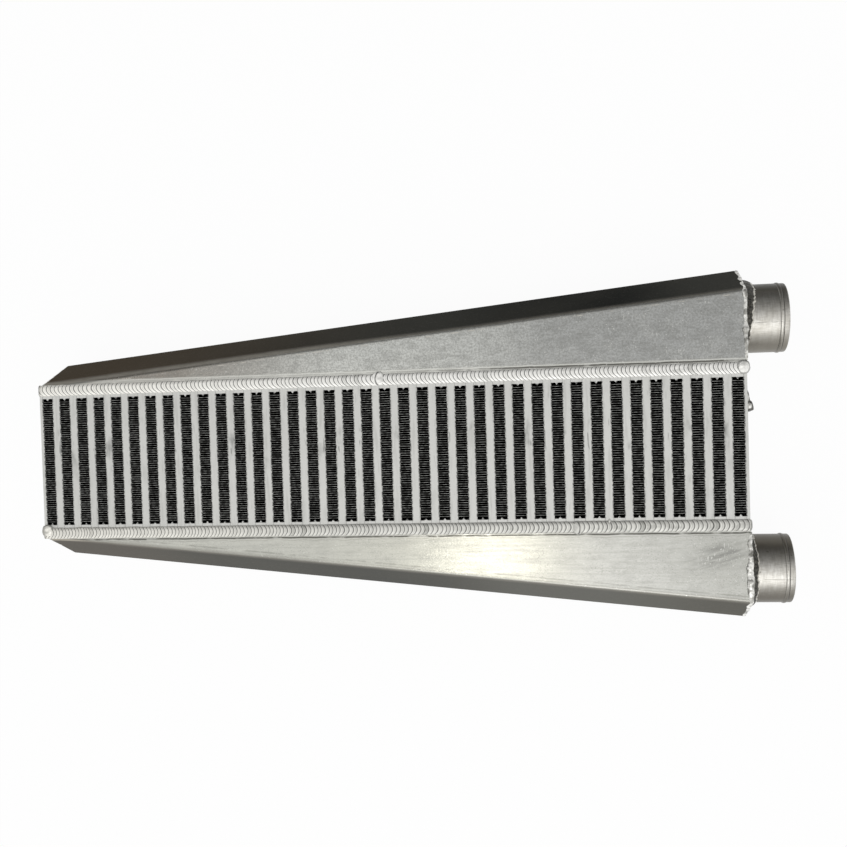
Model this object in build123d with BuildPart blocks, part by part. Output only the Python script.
from build123d import *
import os

# Bar-and-plate intercooler, millimetres. X runs along the core towards the tubes, Y from the
# outlet tank to the inlet tank, and Z from the rear face to the front. It lies on its back.

# Core
cooling_layers = 38
cooling_height = 10.3        # fin strip, measured along X
passage_height = 6.3         # charge passage, between its two sheets
sheet_thickness = 0.6
side_plate_thickness = 3.0
core_depth = 88.9            # front to rear, 3.5 in
core_width = 141.0           # along the charge flow, from tank to tank
long_bar_depth = 8.0         # closes a charge passage at the front and at the rear
header_bar_width = 8.0       # closes a cooling layer beside each tank
tooth_width = 3.0            # V tooth on the header bar's inner edge
tooth_height = 2.0

# Fins: fewer folds than the real ones, which have a leg every 2.2 mm
cooling_leg_count = 8
cooling_fin_sheet = 0.4
charge_leg_count = 2
charge_fin_sheet = 0.4
fin_recess = 0.5             # the cooling fins end this far inside each face
fin_end_gap = 0.3

# Tanks
tank_wall = 3.0
end_plate_thickness = 3.0
low_end_height = 3.5         # front wall above the core, at the closed end
ridge_rise = 22.0            # from the front bend up to the ridge
bend_radius = 3.0            # outside of the folds
closed_end_lean = 8.0        # how far the closed end leans in, from its foot to the ridge

# Tubes
tube_diameter = 63.5         # 2.5 in hose size
tube_wall = 2.0
tube_reach = 41.0            # from the end plate to the rim
tube_foot_gap = 3.75         # clear between the tube's weld and the bead on the tank's foot
tube_roof_gap = 0.3          # clear between the tube's weld and the weld on the plate's edge
ring_from_rim = 5.4          # middle of the rolled bead
ring_width = 4.0
ring_height = 0.7

# Welds
bead_width = 11.0            # round the foot of each tank
bead_height = 2.0
tube_weld_leg = 5.0          # up the end plate
tube_weld_run = 9.0          # along the tube
edge_weld_width = 4.0
edge_weld_height = 1.6

# Lug on the side plate
lug_length = 19.0
lug_reach = 7.0
lug_depth = 14.0
lug_below_foot = 20.0
lug_from_front = 12.0
lug_fillet = 2.0

# Derived sizes. The origin is under the middle of the whole part.
charge_layers = cooling_layers - 1
charge_height = passage_height + 2 * sheet_thickness
pitch = cooling_height + charge_height
core_length = cooling_layers * cooling_height + charge_layers * charge_height + 2 * side_plate_thickness
core_middle = (bead_height - tube_reach) / 2
closed_x = core_middle - core_length / 2
port_x = core_middle + core_length / 2
rear_z = bead_height
front_z = rear_z + core_depth
middle_z = rear_z + core_depth / 2
foot_y = core_width / 2
header_edge_y = foot_y - header_bar_width
tube_radius = tube_diameter / 2
tube_bore_radius = tube_radius - tube_wall
tube_y = foot_y + bead_width / 2 + tube_foot_gap + tube_weld_leg + tube_radius

# The tall end is as high as the tube needs: its welds just clear the roof's edge weld
roof_distance = tube_radius + tube_weld_leg + tube_roof_gap + edge_weld_width
roof_stretch = (1 + (2 * ridge_rise / core_depth) ** 2) ** 0.5
port_ridge_y = tube_y + roof_distance * roof_stretch
port_bend_y = port_ridge_y - ridge_rise
low_ridge_height = low_end_height + ridge_rise
tank_slope = (port_bend_y - foot_y - low_end_height) / core_length

charge_centres = [core_middle + pitch * (i - (charge_layers - 1) / 2) for i in range(charge_layers)]
cooling_centres = [core_middle + pitch * (i - (cooling_layers - 1) / 2) for i in range(cooling_layers)]

# Planes that place the pieces
rear_plane = Plane.XY.offset(rear_z)
port_plane = Plane.YZ.offset(port_x)
foot_plane = Plane(origin=(0, foot_y, 0), z_dir=(0, 1, 0))
closed_plane = Plane(origin=(closed_x, foot_y, middle_z), z_dir=(low_ridge_height, -closed_end_lean, 0))
tube_plane = Plane(origin=(port_x, tube_y, middle_z))
tube_axis = Axis(tube_plane.origin, (1, 0, 0))
port_end_plane = Plane(origin=tube_plane.origin, z_dir=(1, 0, 0))
run_back = Vector(-1, -tank_slope, 0)


# Helpers

def house_section(inset):
    """Tank section seen along X: two walls and a gable, drawn in from the outside by inset."""
    low_y = foot_y - tank_slope * 1.2 * core_length
    corners = [(low_y, rear_z), (port_bend_y, rear_z), (port_ridge_y, middle_z),
               (port_bend_y, front_z), (low_y, front_z)]
    with BuildSketch(mode=Mode.PRIVATE) as section:
        with BuildLine():
            Polyline(*corners, close=True)
        make_face()
        if inset < bend_radius:
            fillet(section.vertices().sort_by(Axis.X)[-3:], bend_radius)
        if inset:
            offset(amount=-inset, kind=Kind.INTERSECTION)
    return section.sketch


def zigzag(legs, half_height, length, sheet):
    """Outline of a folded fin, its folds at plus and minus half_height, running along Y."""
    step = length / legs
    lean = sheet / 2 * (1 + (2 * half_height / step) ** 2) ** 0.5
    reach = half_height - lean
    folds = [(reach * (-1) ** i, step * i - length / 2) for i in range(legs + 1)]
    left_side = [(x - lean, y) for x, y in folds]
    right_side = [(x + lean, y) for x, y in reversed(folds)]
    with BuildSketch(mode=Mode.PRIVATE) as outline:
        with BuildLine():
            Polyline(*left_side, *right_side, close=True)
        make_face()
    return outline.sketch


def bead_section():
    """Weld bead section: flat back on the local X axis, crown towards local plus Y."""
    edge = bead_width / 2
    shoulder = bead_width / 4
    with BuildSketch(mode=Mode.PRIVATE) as section:
        with BuildLine():
            Polyline((-edge, 0), (edge, 0), (shoulder, 0.8 * bead_height), (0, bead_height),
                     (-shoulder, 0.8 * bead_height), close=True)
        make_face()
    return section.sketch


def save(piece, name):
    """Label a finished piece and write its STEP file."""
    piece.part.label = name
    export_step(piece.part, "parts/" + name + ".step")


os.makedirs("parts", exist_ok=True)

# Parting sheets, two for each charge layer
sheet_shift = (passage_height + sheet_thickness) / 2
with BuildPart() as parting_sheets:
    with BuildSketch(rear_plane):
        with Locations([(x + side * sheet_shift, 0) for x in charge_centres for side in (-1, 1)]):
            Rectangle(sheet_thickness, core_width)
    extrude(amount=core_depth)

# Long bars that close the charge passages at the rear and at the front
with BuildPart() as rear_bars:
    with BuildSketch(rear_plane):
        with Locations([(x, 0) for x in charge_centres]):
            Rectangle(passage_height, core_width)
    extrude(amount=long_bar_depth)

with BuildPart() as front_bars:
    mirror(rear_bars.part, about=Plane.XY.offset(middle_z))

# Short header bars that close the cooling layers beside the inlet tank, each with its V tooth
half_layer = cooling_height / 2
half_tooth = tooth_width / 2
with BuildPart() as inlet_header_bars:
    with BuildSketch(mode=Mode.PRIVATE) as bar_section:
        with BuildLine():
            Polyline((-half_layer, foot_y), (half_layer, foot_y), (half_layer, header_edge_y),
                     (half_tooth, header_edge_y), (0, header_edge_y - tooth_height),
                     (-half_tooth, header_edge_y), (-half_layer, header_edge_y), close=True)
        make_face()
    with BuildSketch(rear_plane):
        with Locations([(x, 0) for x in cooling_centres]):
            add(bar_section.sketch)
    extrude(amount=core_depth)

# Cooling fins, folded between the sheets and open from front to rear
cooling_fin_length = 2 * (header_edge_y - tooth_height - fin_end_gap)
cooling_fin = zigzag(cooling_leg_count, half_layer, cooling_fin_length, cooling_fin_sheet)
with BuildPart() as cooling_fins:
    with BuildSketch(rear_plane.offset(fin_recess)):
        with Locations([(x, 0) for x in cooling_centres]):
            add(cooling_fin)
    extrude(amount=core_depth - 2 * fin_recess)

# Charge fins, folded between the sheets and open from tank to tank
charge_fin_length = core_depth - 2 * (long_bar_depth + fin_end_gap)
charge_fin = zigzag(charge_leg_count, passage_height / 2, charge_fin_length, charge_fin_sheet)
charge_plane = Plane(origin=(0, -foot_y, middle_z), x_dir=(1, 0, 0), z_dir=(0, 1, 0))
with BuildPart() as charge_fins:
    with BuildSketch(charge_plane):
        with Locations([(x, 0) for x in charge_centres]):
            add(charge_fin)
    extrude(amount=core_width)

# Side plates
with BuildPart() as closed_side_plate:
    with BuildSketch(rear_plane):
        with Locations((closed_x + side_plate_thickness / 2, 0)):
            Rectangle(side_plate_thickness, core_width)
    extrude(amount=core_depth)

with BuildPart() as port_side_plate:
    mirror(closed_side_plate.part, about=Plane.YZ.offset(core_middle))

# Weld-on lug on the side plate at the port end, thin at its top edge
lug_rear_z = front_z - lug_from_front - lug_depth / 2
lug_top_y = foot_y - lug_below_foot
with BuildPart() as side_lug:
    with BuildSketch(Plane.XY.offset(lug_rear_z)):
        with BuildLine():
            Polyline((port_x, lug_top_y), (port_x, lug_top_y - lug_length),
                     (port_x + lug_reach / 2, lug_top_y - lug_length),
                     (port_x + lug_reach, lug_top_y - 0.8 * lug_length), close=True)
        make_face()
    extrude(amount=lug_depth)
    fillet(side_lug.edges().filter_by(Axis.Z).sort_by(Axis.X)[-1], lug_fillet)

# Tank: one folded sheet of the same section all along, cut on the slant where it meets the core
shell_run = 1.1 * core_length
with BuildPart() as inlet_tank_shell:
    with BuildSketch(port_plane):
        add(house_section(0))
        add(house_section(tank_wall), mode=Mode.SUBTRACT)
    extrude(amount=shell_run, dir=run_back)
    split(bisect_by=foot_plane, keep=Keep.TOP)
    split(bisect_by=closed_plane, keep=Keep.TOP)

# End plate at the tall end, set inside the fold, with the tube's bore through it
with BuildPart() as inlet_port_plate:
    with BuildSketch(port_plane):
        add(house_section(tank_wall))
    extrude(amount=end_plate_thickness, dir=run_back)
    split(bisect_by=foot_plane, keep=Keep.TOP)
    with Locations(port_end_plane):
        Hole(radius=tube_bore_radius)

# Gable plate that closes the low end, leaning with the cut
with BuildPart() as inlet_closed_plate:
    with BuildSketch(port_plane):
        add(house_section(tank_wall))
    extrude(amount=shell_run, dir=run_back)
    split(bisect_by=foot_plane, keep=Keep.TOP)
    split(bisect_by=closed_plane, keep=Keep.TOP)
    split(bisect_by=closed_plane.offset(end_plate_thickness), keep=Keep.BOTTOM)

# Tube with a rolled bead, butted on the end plate
ring_middle = tube_reach - ring_from_rim
with BuildPart() as inlet_tube:
    with BuildSketch(tube_plane):
        with BuildLine():
            Polyline((0, tube_bore_radius), (tube_reach, tube_bore_radius), (tube_reach, tube_radius),
                     (ring_middle + ring_width / 2, tube_radius), (ring_middle, tube_radius + ring_height),
                     (ring_middle - ring_width / 2, tube_radius), (0, tube_radius), close=True)
        make_face()
    revolve(axis=tube_axis)

# Fillet weld round the tube
with BuildPart() as inlet_tube_weld:
    with BuildSketch(tube_plane):
        with BuildLine():
            Polyline((0, tube_radius), (tube_weld_run, tube_radius),
                     (0, tube_radius + tube_weld_leg), close=True)
        make_face()
    revolve(axis=tube_axis)

# Edge weld over the seam between the fold and the plate at the tall end
with BuildPart() as inlet_port_weld:
    with BuildSketch(port_plane):
        add(house_section(0))
        add(house_section(edge_weld_width), mode=Mode.SUBTRACT)
    extrude(amount=edge_weld_height)
    split(bisect_by=foot_plane.offset(bead_width / 2), keep=Keep.TOP)

# The same weld at the low end, where only the gable stands clear of the foot's bead
with BuildPart() as inlet_closed_weld:
    with BuildSketch(port_plane):
        add(house_section(0))
        add(house_section(edge_weld_width), mode=Mode.SUBTRACT)
    extrude(amount=shell_run, dir=run_back)
    split(bisect_by=foot_plane.offset(bead_width / 2), keep=Keep.TOP)
    split(bisect_by=closed_plane, keep=Keep.BOTTOM)
    split(bisect_by=closed_plane.offset(-edge_weld_height), keep=Keep.TOP)

# Weld bead round the foot of the tank, in four runs with mitred ends
def foot_bead(start, along, outward, length):
    """One straight run of bead from start, crown outwards, mitred to its neighbours at both ends."""
    run = Plane(origin=start, x_dir=(0, 1, 0), z_dir=along)
    finish = Vector(start) + Vector(along) * length
    with BuildPart() as bead:
        with BuildSketch(run.offset(-bead_height)):
            add(bead_section())
        extrude(amount=length + 2 * bead_height)
        split(bisect_by=Plane(origin=start, z_dir=Vector(along) + Vector(outward)), keep=Keep.TOP)
        split(bisect_by=Plane(origin=finish, z_dir=Vector(outward) - Vector(along)), keep=Keep.TOP)
    return bead


inlet_front_bead = foot_bead((closed_x, foot_y, front_z), (1, 0, 0), (0, 0, 1), core_length)
inlet_port_bead = foot_bead((port_x, foot_y, front_z), (0, 0, -1), (1, 0, 0), core_depth)
inlet_rear_bead = foot_bead((port_x, foot_y, rear_z), (-1, 0, 0), (0, 0, -1), core_length)
inlet_closed_bead = foot_bead((closed_x, foot_y, rear_z), (0, 0, 1), (-1, 0, 0), core_depth)

# The core's own pieces
core_pieces = {
    "parting_sheets": parting_sheets,
    "front_bars": front_bars,
    "rear_bars": rear_bars,
    "cooling_fins": cooling_fins,
    "charge_fins": charge_fins,
    "closed_side_plate": closed_side_plate,
    "port_side_plate": port_side_plate,
    "side_lug": side_lug,
}
for name, piece in core_pieces.items():
    save(piece, name)

# Pieces on the inlet side, and their mirror images on the outlet side
inlet_pieces = {
    "header_bars": inlet_header_bars,
    "tank_shell": inlet_tank_shell,
    "closed_plate": inlet_closed_plate,
    "port_weld": inlet_port_weld,
    "closed_weld": inlet_closed_weld,
    "front_bead": inlet_front_bead,
    "rear_bead": inlet_rear_bead,
    "port_bead": inlet_port_bead,
    "closed_bead": inlet_closed_bead,
}
for name, piece in inlet_pieces.items():
    save(piece, "inlet_" + name)
    with BuildPart() as twin:
        mirror(piece.part, about=Plane.XZ)
    save(twin, "outlet_" + name)

# Round pieces: the one on the inlet side and its mirror image share a node, which keeps its mesh light
round_pieces = {
    "port_plates": inlet_port_plate,
    "tubes": inlet_tube,
    "tube_welds": inlet_tube_weld,
}
for name, piece in round_pieces.items():
    with BuildPart() as pair:
        add(piece.part)
        mirror(piece.part, about=Plane.XZ)
    save(pair, name)
